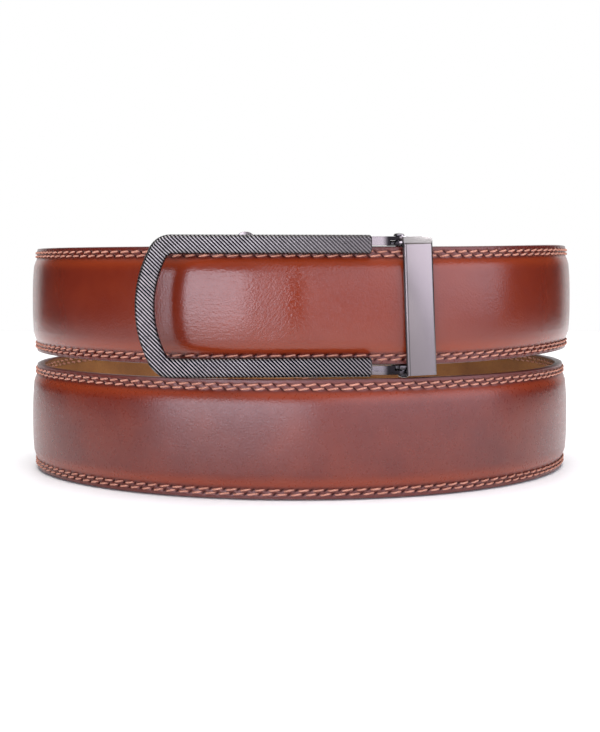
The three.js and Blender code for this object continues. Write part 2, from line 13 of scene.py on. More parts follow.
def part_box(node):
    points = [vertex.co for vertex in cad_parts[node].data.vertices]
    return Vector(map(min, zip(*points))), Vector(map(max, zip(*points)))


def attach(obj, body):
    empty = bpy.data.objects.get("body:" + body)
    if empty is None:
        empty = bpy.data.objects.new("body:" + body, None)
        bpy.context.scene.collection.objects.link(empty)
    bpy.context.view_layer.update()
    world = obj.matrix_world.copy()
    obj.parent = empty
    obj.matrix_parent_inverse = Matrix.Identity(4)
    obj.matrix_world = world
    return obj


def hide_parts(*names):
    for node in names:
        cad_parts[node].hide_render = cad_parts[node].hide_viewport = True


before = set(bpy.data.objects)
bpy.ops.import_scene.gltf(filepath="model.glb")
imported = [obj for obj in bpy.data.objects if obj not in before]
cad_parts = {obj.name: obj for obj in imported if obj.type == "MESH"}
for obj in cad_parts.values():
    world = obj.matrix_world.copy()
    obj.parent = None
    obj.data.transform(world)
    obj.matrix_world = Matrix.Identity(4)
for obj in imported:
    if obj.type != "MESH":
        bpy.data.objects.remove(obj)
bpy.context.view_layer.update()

MM = 0.001

# Strap, measured outwards from the line where leather and lining meet
HALF_WIDTH = 17.5
CROWN = 2.8
MARGIN = 1.4
MARGIN_WIDTH = 3.4
STEP_WIDTH = 0.15
STEP_HEIGHT = 0.45
CROWN_POWER = 2.6
EDGE_ROUND = 0.45
EDGE_ROLL = 0.25
LINING_BACK = -1.2
LINING_FRONT = LINING_BACK + 0.35
STRAP_BACK = LINING_BACK + 0.12
EDGE_HALF = (MARGIN - LINING_BACK) / 2 - 0.05
LINING_HALF = 16.9
TIP_LENGTH = 22
TIP_BLUNTNESS = 2.3
TAIL_FROM_KEEPER = 129.4

# Coil, on the line where leather and lining meet, with places along it in degrees of turn
COIL_RADIUS = 91.2
FLAT_HALF_LENGTH = 24
FLAT_CORNER_RADIUS = 35
FLAT_YAW = 5
COIL_SHIFT = 1.1
INNER_STRAND_INSET = 6
CLAMPED_STRAND_INSET = 7.5
TAIL_RISE = 1.1
LOWER_Z = 17.5
UPPER_Z = 56.25
CLAMP_BLEND = (32, 62)
DESCENT = (120, 240)
INSET_RETURN = (240, 300)
ASCENT = (480, 600)
TAIL_BLEND = (742, 792)
STRAP_START = 19.7
FLAT_MIDDLE = 725
ROUTE_END = 860

# Stitching
STITCH_PITCH = 4.2
STITCH_ROWS = (1.6, 2.8)
STITCH_REACH = 0.42
STITCH_SLANT = 0.11
STITCH_ARCH = 0.3
STITCH_DIVE = 0.55
THREAD_RADIUS = 0.30
PLY_LOBE = 0.13
PLY_TURN = 3.4
HOLE_DEPTH = 0.35
HOLE_SPREAD = 0.36
ROW_DEPTH = 0.1
ROW_SPREAD = 0.5
RINGS_PER_STITCH = 6

# Marks of use on the leather, the first being painted light over the front near the buckle:
# distance from the buckle's middle along the strap, and spread
LIT_FRONT = (5, 45)
CREASED = (-16.2, 4.5)
RIPPLED = (-34, 10)
STREAK = (-9.8, 2.2)

# Where the leather's finish changes, and where light is painted along the shoulders: from the
# strap's edge, and in height over the table
MARGIN_FADE = (3.2, 4.2)
SHOULDER = (4.6, 1.3)
LOWER_TURN_TOP = (34, 42)

# Keeper, in the buckle's own frame, and where its painted highlight and painted shade change,
# along the flat or in height
KEEPER_X = 26.6
KEEPER_HALF = 4.11
KEEPER_LEAN = 1.9
KEEPER_BEND = (18.3, 18.6)
BEND_LEFT = (22.0, 22.4)
LAP_LEFT = (16.0, 18.2)
LAP_RIGHT = (21.2, 21.7)
SIDE_LEFT = (20.5, 21.2)
SIDE_WIDTH = (0.32, 0.40)
SIDE_LINE = (0.90, 0.09)
METAL_SHADE = (20, -20)

# Buckle frame
FRAME_HEIGHT = 41.7
FRAME_LEFT = 56.2
FRAME_RIGHT = 12.9
BAR_WIDTH = 5.8
BAR_DEPTH = 3.0
BAR_SIDE = 0.5
BAR_CHAMFER = 0.1
BAR_SQUARENESS = 0.42
BACK_POINTS = 4
BACK_SHADE = 0.45
FRAME_BACK = 2.5
END_RADIUS = 36.9
CORNER_RADIUS = 6.8
INNER_FILLET = 0.55
FILLET_SPREAD = 2.6
ARM_END_ROUND = 1.1
ARM_END_NARROWING = 0.9
ARM_END_SINKING = 0.35
GROOVE_PITCH = 0.82
GROOVE_DEPTH = 0.19
GROOVE_SHARPNESS = 1.3
ARM_SHADE = (-30, 12)
LOWER_ARM = (4, -16)

# How the plain metal nodes are rounded: points this close are one, in millimetres, faces within
# this many degrees are one, and edges of more degrees are rounded over
MERGED = 0.01
FLAT_WITHIN = 1.0
ROUNDED_OVER = 24

# Collars under the rivets' heads: near-black pieces that stand in for the shade round each rivet
COLLAR_HALF = 1.7
COLLAR_LONG = 0.7
COLLAR_SHIFT = 1.4
COLLAR_FOOT = 17.62
COLLAR_RISE = 1.5

# The coil's centre, from the strap's left face, which the upper turn sets, and its rear face
strap_low, strap_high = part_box("strap")
CENTRE = np.array([
    strap_low.x / MM + COIL_RADIUS + CROWN - COIL_SHIFT,
    strap_high.y / MM - COIL_RADIUS - CROWN,
    0.0,
])

# The buckle's own frame, turned with the flat, x to the right and z up from the strap's middle
BUCKLE = (
    Matrix.Translation(Vector((CENTRE[0] + COIL_SHIFT, CENTRE[1], UPPER_Z)))
    @ Matrix.Rotation(math.radians(FLAT_YAW), 4, "Z")
)


def eased(value, span):
    """A smooth step: 3 t squared less 2 t cubed, with t from 0 to 1 over the span."""
    t = np.clip((value - span[0]) / (span[1] - span[0]), 0, 1)
    return t * t * (3 - 2 * t)


def plan_at(angle, flattened):
    """Distance from the coil's centre and direction of the normal, in radians from the flat's
    middle: a straight stretch, then an arc of the corner radius, then the coil's own circle."""
    centre = COIL_RADIUS - FLAT_CORNER_RADIUS
    corner = math.asin(FLAT_HALF_LENGTH / centre)
    flat = FLAT_CORNER_RADIUS + centre * math.cos(corner)
    away = np.abs(angle)
    inside = np.minimum(away, corner)
    short = centre * np.sin(corner - inside)
    arc = centre * np.cos(corner - inside) + np.sqrt(FLAT_CORNER_RADIUS ** 2 - short ** 2)
    lean = np.clip((arc * np.sin(inside) - FLAT_HALF_LENGTH) / FLAT_CORNER_RADIUS, -1, 1)
    straight = away <= math.atan(FLAT_HALF_LENGTH / flat)
    distance = np.where(straight, flat / np.cos(inside), arc)
    normal = np.where(straight, 0.0, np.sign(angle) * np.arcsin(lean))
    round_part = (away >= corner) | ~flattened
    return np.where(round_part, COIL_RADIUS, distance), np.where(round_part, angle, normal)


def route_points(turn):
    """The strap's bond line: the plan's distance and angle for the turn, moved in by the strand's
    inset along the normal, at a height that eases down and up again once."""
    from_flat = np.radians((turn - FLAT_YAW + 180) % 360 - 180)
    distance, normal = plan_at(from_flat, (turn < DESCENT[1]) | (turn > ASCENT[0]))
    place = from_flat + math.radians(FLAT_YAW)
    facing = normal + math.radians(FLAT_YAW)
    clamp_side = 1 - eased(turn, CLAMP_BLEND)
    inset = INNER_STRAND_INSET + (CLAMPED_STRAND_INSET - INNER_STRAND_INSET) * clamp_side
    inset = inset * (1 - eased(turn, INSET_RETURN))
    drop = eased(turn, DESCENT) - eased(turn, ASCENT)
    z = UPPER_Z - (UPPER_Z - LOWER_Z) * drop
    z = z + TAIL_RISE * eased(turn, TAIL_BLEND)
    shift = COIL_SHIFT * (z - LOWER_Z) / (UPPER_Z - LOWER_Z)
    x = distance * np.sin(place) - inset * np.sin(facing) + shift
    y = -distance * np.cos(place) + inset * np.cos(facing)
    return np.stack([x, y, z], -1) + CENTRE


def unit(vectors):
    """Vectors at length 1."""
    return vectors / np.linalg.norm(vectors, axis=-1, keepdims=True)


def line_lengths(points):
    """Length along a line of points, from its first point to each."""
    return np.concatenate([[0], np.cumsum(np.linalg.norm(np.diff(points, axis=0), axis=1))])


def at_lengths(points, lengths, wanted):
    """Points of a line at the wanted lengths."""
    return np.stack([np.interp(wanted, lengths, column) for column in points.T], -1)


def relaxed(points, spread=36):
    """Points with their sudden changes of bend eased out: twice the blurred line less the line
    blurred twice, which leaves steady bends where they are."""
    reach = 4 * spread
    weights = np.exp(-np.arange(-reach, reach + 1) ** 2 / (2 * spread ** 2))
    weights = weights / weights.sum()

    def blurred(line):
        """The line with each point averaged with its neighbours, by the weights."""
        padded = np.pad(line, ((reach, reach), (0, 0)), mode="reflect", reflect_type="odd")
        return np.stack([np.convolve(column, weights, "valid") for column in padded.T], -1)

    once = blurred(points)
    return 2 * once - blurred(once)


class Route:
    """The strap's route as a table against length, so that any point beside it can be placed."""

    def __init__(self, first_turn, last_turn, samples=9000):
        turn = np.linspace(first_turn, last_turn, samples)
        points = relaxed(route_points(turn))
        self.length = line_lengths(points)
        along = unit(np.gradient(points, axis=0))
        outwards = unit(np.cross(along, [0, 0, 1]))
        across = np.cross(outwards, along)
        self.table = np.concatenate([points, outwards, across], axis=1)
        self.middle = float(np.interp(FLAT_MIDDLE, turn, self.length))

    def rows(self, length):
        """Point, outward axis and across axis at each length."""
        return at_lengths(self.table, self.length, length)

    def place(self, length, across, outwards):
        """Point = route point + outwards times its axis + across times its axis."""
        rows = self.rows(length)
        middle, outward_axis, across_axis = rows[..., 0:3], rows[..., 3:6], rows[..., 6:9]
        return middle + outwards[..., None] * outward_axis + across[..., None] * across_axis


route = Route(STRAP_START, ROUTE_END)
TIP_END = route.middle + KEEPER_X + TAIL_FROM_KEEPER
TIP_START = TIP_END - TIP_LENGTH


def half_width(length):
    """Half the strap's width: full, then rounded off over the tip as a blunt ellipse."""
    t = np.clip((length - TIP_START) / TIP_LENGTH, 0, 1)
    return HALF_WIDTH * np.sqrt(np.clip(1 - t ** TIP_BLUNTNESS, 0.02, 1))


def crown_height(from_edge):
    """Outer face over the bond line: a flat margin, a small step and a crown whose slope fades.
    The step's width and height are shares of the crown's half width and rise."""
    t = np.clip((from_edge - MARGIN_WIDTH) / (HALF_WIDTH - MARGIN_WIDTH), 0, 1)
    step = eased(t, (0, STEP_WIDTH))
    dome = 1 - (1 - t) ** CROWN_POWER
    return MARGIN + (CROWN - MARGIN) * (STEP_HEIGHT * step + (1 - STEP_HEIGHT) * dome)


def stitch_holes(length, from_edge):
    """Depth of the stitch holes and of the grooves that the rows press: a sum of small bells."""
    depth = 0
    for row, offset in enumerate(STITCH_ROWS):
        beside = from_edge - offset
        shifted = length + row * STITCH_PITCH / 2
        near = (shifted + STITCH_PITCH / 2) % STITCH_PITCH - STITCH_PITCH / 2
        depth = depth + HOLE_DEPTH * np.exp(-(near ** 2 + beside ** 2) / (2 * HOLE_SPREAD ** 2))
        depth = depth + ROW_DEPTH * np.exp(-beside ** 2 / (2 * ROW_SPREAD ** 2))
    return depth


# Meshes

def add_object(name, data):
    """A new object in the scene."""
    made = bpy.data.objects.new(name, data)
    bpy.context.scene.collection.objects.link(made)
    return made


def grid_faces(rows, columns):
    """Four-sided faces between neighbouring rows and columns of a grid whose rows are rings."""
    row = np.arange(rows - 1)[:, None]
    column = np.arange(columns)[None, :]
    a = row * columns + column
    b = row * columns + (column + 1) % columns
    return np.stack([a, b, b + columns, a + columns], -1).reshape(-1, 4)


def fan(ring, centre, flip):
    """Triangles from one point to each side of a ring."""
    after = np.roll(ring, -1)
    corners = (after, ring) if flip else (ring, after)
    return np.stack([*corners, np.full_like(ring, centre)], -1)


def closed_loft(grid):
    """Points and faces of a grid of rings, with each end ring closed by a fan to its middle."""
    rows, columns, _ = grid.shape
    count = rows * columns
    ring = np.arange(columns)
    points = np.concatenate([grid.reshape(-1, 3), grid[[0, -1]].mean(axis=1)])
    start = fan(ring, count, True)
    end = fan(ring + count - columns, count + 1, False)
    return points, [grid_faces(rows, columns), np.concatenate([start, end])]


def make_piece(name, points, faces, look, uv=None, values=None):
    """A mesh from arrays that rides on the root: points in millimetres, a list of face arrays, a
    map in millimetres per point and named values per point. The faces are turned to point
    outwards by their signed volume."""
    points = np.asarray(points, dtype=np.float64) * MM
    sizes = np.concatenate([np.full(len(group), group.shape[1]) for group in faces])
    corners = np.concatenate([group.ravel() for group in faces])
    tri = [group[:, [0, i, i + 1]] for group in faces for i in range(1, group.shape[1] - 1)]
    tri = np.concatenate(tri)
    a, b, c = (points[tri[:, i]] for i in range(3))
    if np.einsum("ij,ij->i", a, np.cross(b, c)).sum() < 0:
        corners = np.concatenate([group[:, ::-1].ravel() for group in faces])
    mesh = bpy.data.meshes.new(name)
    mesh.vertices.add(len(points))
    mesh.vertices.foreach_set("co", points.ravel())
    mesh.loops.add(len(corners))
    mesh.loops.foreach_set("vertex_index", corners.astype(np.int32))
    mesh.polygons.add(len(sizes))
    starts = np.concatenate([[0], np.cumsum(sizes)[:-1]])
    mesh.polygons.foreach_set("loop_start", starts.astype(np.int32))
    mesh.polygons.foreach_set("use_smooth", np.full(len(sizes), True))
    mesh.update(calc_edges=True)
    if uv is not None:
        layer = mesh.uv_layers.new(name="surface_map")
        layer.data.foreach_set("uv", np.asarray(uv)[corners].ravel() * MM)
    for label, column in (values or {}).items():
        attribute = mesh.attributes.new(label, "FLOAT", "POINT")
        attribute.data.foreach_set("value", np.asarray(column, dtype=np.float32))
    mesh.validate()
    mesh.materials.append(look)
    piece = add_object(name, mesh)
    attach(piece, "root")
    return piece


def tube_solid(rings_points):
    """Points and faces of closed tubes: an array of tubes by rings by sides by 3, capped."""
    tubes, rings, sides, _ = rings_points.shape
    centres = rings_points[:, [0, -1]].mean(axis=2)
    body = rings_points.reshape(tubes, rings * sides, 3)
    points = np.concatenate([body, centres], axis=1)
    first = np.arange(sides)
    last = first + (rings - 1) * sides
    start_cap = fan(first, rings * sides, True)
    end_cap = fan(last, rings * sides + 1, False)
    triangles = np.concatenate([start_cap, end_cap])
    start = (np.arange(tubes) * (rings * sides + 2))[:, None, None]
    quads = (grid_faces(rings, sides)[None] + start).reshape(-1, 4)
    caps = (triangles[None] + start).reshape(-1, 3)
    return points.reshape(-1, 3), [quads, caps]


# Shader expressions

class Look:
    """A material or world being made from nodes."""

    def __init__(self, owner):
        owner.use_nodes = True
        self.owner = owner
        self.tree = owner.node_tree
        self.tree.nodes.clear()

    def node(self, kind, settings=None, sockets=None, output=0):
        """Adds any node, sets it, links or sets its sockets and gives back one of its outputs."""
        made = self.tree.nodes.new(kind)
        for key, value in (settings or {}).items():
            setattr(made, key, value)
        for key, value in (sockets or {}).items():
            if isinstance(value, Term):
                self.tree.links.new(value.socket, made.inputs[key])
            else:
                made.inputs[key].default_value = value
        return Term(self, made.outputs[output]) if made.outputs else None

    def place(self):
        """Object coordinates, in metres."""
        return self.node("ShaderNodeTexCoord", output=3)

    def surface(self):
        """Length along the strap and distance beside its middle, from the piece's own map."""
        along, beside, _ = self.split(self.node("ShaderNodeUVMap", {"uv_map": "surface_map"}))
        return along, beside

    def attribute(self, name):
        """A named value that the mesh carries at its points."""
        return self.node("ShaderNodeAttribute", {"attribute_name": name}, output=2)

    def combine(self, x, y):
        """A vector in the plane."""
        return self.node("ShaderNodeCombineXYZ", {}, {"X": x, "Y": y, "Z": 0.0})

    def math(self, operation, *values):
        """One Math node, with its values or terms in order."""
        return self.node("ShaderNodeMath", {"operation": operation}, dict(enumerate(values)))

    def noise(self, vector, scale, detail, roughness):
        """Noise of about 0.5, of the scale's number of patches to a metre."""
        sockets = {"Vector": vector, "Scale": scale, "Detail": detail, "Roughness": roughness}
        return self.node("ShaderNodeTexNoise", {}, sockets)

    def between(self, value, low, high, start=0.0, end=1.0):
        """The value mapped smoothly from low..high to start..end, and held past both."""
        source = {"Value": value, "From Min": low, "From Max": high}
        target = {"To Min": start, "To Max": end}
        smooth = {"interpolation_type": "SMOOTHSTEP"}
        return self.node("ShaderNodeMapRange", smooth, {**source, **target})

    def rising(self, value, span):
        """A value in metres mapped smoothly to 0..1 over a span in millimetres."""
        return self.between(value, span[0] * MM, span[1] * MM)

    def mix(self, share, first, second):
        """The first colour, turning into the second as the share goes from 0 to 1."""
        sockets = {0: share, 6: colour_value(first), 7: colour_value(second)}
        return self.node("ShaderNodeMix", {"data_type": "RGBA"}, sockets, output=2)

    def split(self, vector):
        """The three parts of a vector."""
        made = self.node("ShaderNodeSeparateXYZ", {}, {"Vector": vector})
        return [Term(self, socket) for socket in made.socket.node.outputs]

    def bump(self, height, distance, strength):
        """A normal tilted by the height, over a distance in metres."""
        sockets = {"Height": height, "Distance": distance, "Strength": strength}
        return self.node("ShaderNodeBump", {}, sockets)

    def finish(self, colour, roughness, others=None):
        """The finished material: a Principled shader with these values and other sockets."""
        sockets = {"Base Color": colour, "Roughness": roughness, **(others or {})}
        shader = self.node("ShaderNodeBsdfPrincipled", {}, sockets)
        self.node("ShaderNodeOutputMaterial", {}, {"Surface": shader})
        return self.owner


def new_look(name):
    """A Look for a new material."""
    return Look(bpy.data.materials.new(name))


def colour_value(value):
    """A socket's term as it is, or a colour with full alpha."""
    return value if isinstance(value, Term) else (*value, 1.0)


class Term:
    """A shader socket in a sum. Each operator adds the Math node of its name."""

    def __init__(self, look, socket):
        self.look = look
        self.socket = socket

    def __add__(self, other):
        return self.look.math("ADD", self, other)

    def __sub__(self, other):
        return self.look.math("SUBTRACT", self, other)

    def __rsub__(self, other):
        return self.look.math("SUBTRACT", other, self)

    def __mul__(self, other):
        return self.look.math("MULTIPLY", self, other)

    def __truediv__(self, other):
        return self.look.math("DIVIDE", self, other)

    __radd__ = __add__
    __rmul__ = __mul__

    def absolute(self):
        """The value without its sign."""
        return self.look.math("ABSOLUTE", self)

    def bell(self, spread):
        """1 at zero, falling to 0 as the value passes a few times the spread."""
        return self.look.math("EXPONENT", self * self * (-0.5 / spread ** 2))


# Colours, as linear red, green and blue

DEEP_DYE = (0.087, 0.0075, 0.003)
CLEAR_DYE = (0.110, 0.0112, 0.0042)
PAINTED_LIGHT_DYE = (0.160, 0.020, 0.0062)
BLOTCH_DYE = (0.21, 0.032, 0.0095)
PAINTED_SHOULDER_LIGHT = (0.205, 0.028, 0.0062)
MARGIN_DYE = (0.098, 0.0122, 0.0066)
HOLE_SHADE = (0.014, 0.0025, 0.0015)
EDGE_PAINT = (0.075, 0.014, 0.011)
DARK_THREAD = (0.38, 0.155, 0.10)
LIGHT_THREAD = (0.57, 0.265, 0.185)
PLY_SHADE = (0.22, 0.07, 0.04)
DARK_LINING = (0.205, 0.074, 0.014)
LIGHT_LINING = (0.32, 0.128, 0.029)
LINING_GRAIN = (0.12, 0.05, 0.014)
LINING_EDGE = (0.10, 0.04, 0.015)
LINING_HOLE_SHADE = (0.03, 0.012, 0.005)
DARK_RIDGE = (0.218, 0.201, 0.202)
LIGHT_RIDGE = (0.292, 0.269, 0.27)
SHADED_RIDGE = (0.110, 0.098, 0.098)
LOWER_ARM_LIGHT = (0.27, 0.248, 0.248)
GROOVE_SHADE = (0.006, 0.006, 0.008)
KEEPER_BEND_HIGHLIGHT = (0.74, 0.69, 0.70)
DARK_TRACK = (0.022, 0.014, 0.010)
LIGHT_TRACK = (0.045, 0.028, 0.020)
DARK_PAPER = (0.86, 0.86, 0.865)
LIGHT_PAPER = (0.88, 0.88, 0.885)
# Per metal: two tones, painted shade lower down, and painted shade on laps and the keeper's side
METALS = {
    "smooth_gunmetal": {
        "dark": (0.25, 0.219, 0.219),
        "light": (0.272, 0.238, 0.236),
        "low": (0.168, 0.146, 0.153),
        "painted_shade": (0.014, 0.012, 0.013),
    },
    "dark_gunmetal": {
        "dark": (0.075, 0.07, 0.075),
        "light": (0.11, 0.10, 0.11),
        "low": (0.075, 0.07, 0.075),
        "painted_shade": (0.075, 0.07, 0.075),
    },
    # Near black, for the collars that stand in for the shade round the rivets
    "collar_shade_black": {
        "dark": (0.035, 0.032, 0.033),
        "light": (0.055, 0.05, 0.052),
        "low": (0.03, 0.027, 0.028),
        "painted_shade": (0.04, 0.037, 0.038),
    },
}


# Looks

def band(value, line):
    """1 where a value in metres is at the line's place, falling off over its spread, both given
    in millimetres."""
    place, spread = line
    return (value - place * MM).bell(spread * MM)


def mark_along(along, mark):
    """1 at the mark's place along the strap, falling off over its spread."""
    place, spread = mark
    return band(along, (route.middle + place, spread))


def leather_look():
    """Polished cognac leather: mottled dye, painted light near the buckle and along the shoulders,
    a darker margin, painted shade in the stitch holes, and the grain of leather_relief."""
    look = new_look("polished_leather")
    place = look.place()
    along, beside = look.surface()
    from_edge = HALF_WIDTH * MM - beside.absolute()
    clouds = look.noise(place, 26.0, 4.0, 0.6)
    blotches = look.noise(place, 75.0, 2.0, 0.5)
    margin = 1 - look.rising(from_edge, MARGIN_FADE)
    holes = stitch_hole_shade(look, along, from_edge)
    dye = look.mix(look.between(clouds, 0.36, 0.66), DEEP_DYE, CLEAR_DYE)
    # Painted light: a lighter dye over the front near the buckle.
    dye = look.mix(mark_along(along, LIT_FRONT) * 0.9, dye, PAINTED_LIGHT_DYE)
    dye = look.mix(look.between(blotches, 0.35, 0.8, 0.0, 0.2), dye, BLOTCH_DYE)
    # Painted light: a brighter, more orange dye along both shoulders.
    dye = look.mix(band(from_edge, SHOULDER) * 0.65, dye, PAINTED_SHOULDER_LIGHT)
    dye = look.mix(margin * 0.85, dye, MARGIN_DYE)
    # Painted shade in the stitch holes and along the rows.
    dye = look.mix(holes, dye, HOLE_SHADE)
    dye = look.mix(look.attribute("paint"), dye, EDGE_PAINT)
    pores = look.noise(place, 900.0, 1.0, 0.5)
    height = leather_relief(look, place, along, beside) + pores * 0.1 - holes * 2.0
    _, _, level = look.split(place)
    lower_turn = 1 - look.rising(level, LOWER_TURN_TOP)
    rough = look.between(pores, 0.3, 0.7, 0.19, 0.24) + lower_turn * 0.08
    rough = rough + margin * 0.05 + holes * 0.15 - mark_along(along, STREAK) * 0.13
    relief = look.bump(height, 0.00003, 0.6)
    # Metallic in the stitch holes darkens their reflection: painted shade there.
    return look.finish(dye, rough, {"Metallic": holes * 0.9, "IOR": 1.5, "Normal": relief})


def leather_relief(look, place, along, beside):
    """Height of the grain: fine everywhere, rippled along the strap left of the buckle's middle,
    and creased aslant where the strap has been folded."""
    grain = look.noise(place, 1700.0, 1.0, 0.5)
    wrinkles = look.noise(place, 240.0, 4.0, 0.65)
    ripples = look.noise(look.combine(along * 0.3, beside), 1150.0, 2.0, 0.55)
    creases = look.noise(look.combine(along - beside * 0.7, beside * 0.35), 1200.0, 3.0, 0.6)
    height = grain * 2.2 + wrinkles * 0.4 + ripples * 0.5
    height = height + ripples * mark_along(along, RIPPLED) * 1.8
    return height + creases * mark_along(along, CREASED) * 5.0


def stitch_hole_shade(look, along, from_edge):
    """Mask of the painted shade: dark slanted holes at the ends of the stitches, and a faint
    line under each row.
    """
    whole = None
    hole_length = 0.30 * MM
    hole_width = 0.42 * MM
    for row, offset in enumerate(STITCH_ROWS):
        beside = from_edge - offset * MM
        shifted = along / (STITCH_PITCH * MM) + row * 0.5 + 0.5
        near = (look.math("FRACT", shifted) - 0.5) * (STITCH_PITCH * MM)
        slanted = near - beside * 0.9
        hole = slanted.bell(hole_length) * beside.bell(hole_width)
        line = beside.bell(hole_width) * 0.2
        one = look.math("MAXIMUM", hole, line)
        whole = one if whole is None else look.math("MAXIMUM", whole, one)
    return whole


def thread_look():
    """Waxed thread in a light pinkish tan, with painted shade where the plies meet."""
    look = new_look("stitching_thread")
    place = look.place()
    shade = look.noise(place, 700.0, 3.0, 0.6)
    colour = look.mix(look.between(shade, 0.3, 0.7), DARK_THREAD, LIGHT_THREAD)
    # Painted shade in the valleys between the plies.
    colour = look.mix(look.attribute("ply_shade") * 0.7, colour, PLY_SHADE)
    fibres = look.noise(place, 5200.0, 2.0, 0.6)
    return look.finish(colour, 0.55, {"Normal": look.bump(fibres, 0.00004, 0.7)})


def lining_look():
    """Olive tan lining: soft grain, lighter patches, darker edges and painted shade in the
    stitch holes.
    """
    look = new_look("tan_lining")
    place = look.place()
    along, beside = look.surface()
    clouds = look.noise(place, 40.0, 4.0, 0.6)
    grain = look.noise(place, 1500.0, 3.0, 0.6)
    edge = look.rising(beside.absolute(), (LINING_HALF - 1.9, LINING_HALF - 0.1))
    holes = stitch_hole_shade(look, along, HALF_WIDTH * MM - beside.absolute())
    colour = look.mix(look.between(clouds, 0.35, 0.68), DARK_LINING, LIGHT_LINING)
    colour = look.mix(look.between(grain, 0.45, 0.7, 0.0, 0.35), colour, LINING_GRAIN)
    colour = look.mix(edge * 0.5, colour, LINING_EDGE)
    # Painted shade in the stitch holes.
    colour = look.mix(holes * 0.8, colour, LINING_HOLE_SHADE)
    return look.finish(colour, 0.62, {"Normal": look.bump(grain, 0.00006, 0.6)})


def buckle_axes(look, place):
    """Distance to the right along the flat from the buckle's middle, and height over it."""
    x, y, z = look.split(place)
    yaw = math.radians(FLAT_YAW)
    origin = np.array(BUCKLE)[:3, 3] * MM
    level_x = (x - origin[0]) * math.cos(yaw) + (y - origin[1]) * math.sin(yaw)
    return level_x, z - origin[2]


def grooved_look():
    """Gunmetal plate: light on the ridges, with painted shade near black in the grooves and along
    the rim, and painted shade towards the open ends of the arms, less on the lower arm, where
    the ridges are painted lighter and the grooves' shade wider."""
    look = new_look("grooved_gunmetal")
    place = look.place()
    level_x, height = buckle_axes(look, place)
    radians_per_metre = 2 * math.pi / (math.sqrt(2) * GROOVE_PITCH * MM)
    wave = look.math("COSINE", (level_x + height) * radians_per_metre)
    # Painted shade towards the open ends of the arms; the lower arm is painted lighter and its
    # grooves' shade wider.
    shaded = look.rising(level_x, ARM_SHADE)
    lower = look.rising(height, LOWER_ARM)
    # Painted shade in the grooves: wider on the lower arm, fainter towards the upper arm's open
    # end.
    groove = look.between(wave + lower * 0.3, -0.45, 0.3) * look.attribute("front")
    groove = groove * (1 - shaded * 0.3 * (1 - lower))
    wear = look.noise(place, 420.0, 3.0, 0.6)
    colour = look.mix(look.between(wear, 0.3, 0.7), DARK_RIDGE, LIGHT_RIDGE)
    # Painted shade towards the open ends, then painted light that lifts it on the lower arm.
    colour = look.mix(shaded * 0.8, colour, SHADED_RIDGE)
    colour = look.mix(shaded * lower * 0.35, colour, LOWER_ARM_LIGHT)
    # Painted shade, near black, in the grooves and down the bar's sides and back.
    colour = look.mix(look.math("MAXIMUM", groove, look.attribute("rim")), colour, GROOVE_SHADE)
    rough = look.between(wear, 0.3, 0.7, 0.24, 0.36) + groove * 0.2
    relief = look.bump(look.noise(place, 4000.0, 2.0, 0.5), 0.00001, 0.5)
    return look.finish(colour, rough, {"Metallic": 1.0, "Normal": relief})


def keeper_side_shade(look, level_x, height):
    """Painted shade: 1 along the keeper's left side, up to its bend, and on a thin line beside it.
    """
    keeper_left = (KEEPER_X - KEEPER_HALF) * MM
    from_side = level_x + height * math.tan(math.radians(KEEPER_LEAN)) - keeper_left
    side = 1 - look.rising(from_side, SIDE_WIDTH) + band(from_side, SIDE_LINE)
    return side * look.rising(level_x, SIDE_LEFT) * (1 - look.rising(height, KEEPER_BEND))


def smooth_look(name):
    """Polished plate, a little uneven, with painted shade lower down, a painted highlight along
    the keeper's bend, and painted shade on its side and where its laps turn round the rivets."""
    look = new_look(name)
    metal = METALS[name]
    place = look.place()
    level_x, height = buckle_axes(look, place)
    clouds = look.noise(place, 90.0, 3.0, 0.5)
    # Painted shade where the laps turn round the rivets and along the keeper's left side.
    lap = look.rising(level_x, LAP_LEFT) * (1 - look.rising(level_x, LAP_RIGHT))
    # Painted highlight along the keeper's bend.
    bend = look.rising(height, KEEPER_BEND) * look.rising(level_x, BEND_LEFT)
    colour = look.mix(look.between(clouds, 0.3, 0.7), metal["dark"], metal["light"])
    colour = look.mix(look.rising(height, METAL_SHADE), colour, metal["low"])
    colour = look.mix(lap, colour, metal["painted_shade"])
    colour = look.mix(keeper_side_shade(look, level_x, height) * 0.8, colour, metal["painted_shade"])
    colour = look.mix(bend, colour, KEEPER_BEND_HIGHLIGHT)
    fine = look.noise(place, 2600.0, 2.0, 0.5)
    rough = look.between(clouds, 0.3, 0.7, 0.22, 0.26) + look.between(fine, 0.3, 0.7, 0.0, 0.006)
    return look.finish(colour, rough, {"Metallic": 1.0})


def track_look():
    """Dark brown moulded track with a satin skin."""
    look = new_look("track_plastic")
    fine = look.noise(look.place(), 1800.0, 3.0, 0.6)
    colour = look.mix(look.between(fine, 0.3, 0.7), DARK_TRACK, LIGHT_TRACK)
    rough = look.between(fine, 0.3, 0.7, 0.35, 0.5)
    return look.finish(colour, rough, {"Normal": look.bump(fine, 0.00002, 0.5)})


leather = leather_look()
thread = thread_look()
lining = lining_look()
grooved = grooved_look()
smooth_metal = smooth_look("smooth_gunmetal")
dark_metal = smooth_look("dark_gunmetal")
collar_shade_metal = smooth_look("collar_shade_black")
track_plastic = track_look()


# Strap and lining

def across_stations():
    """Where the outer face is cut across, as shares of the half width: close together in the
    margins, wide over the crown."""
    margin = np.linspace(HALF_WIDTH - EDGE_ROUND, HALF_WIDTH - MARGIN_WIDTH - 0.9, 12)
    crown = np.linspace(margin[-1], -margin[-1], 16)[1:-1]
    return np.concatenate([margin, crown, -margin[::-1]]) / HALF_WIDTH


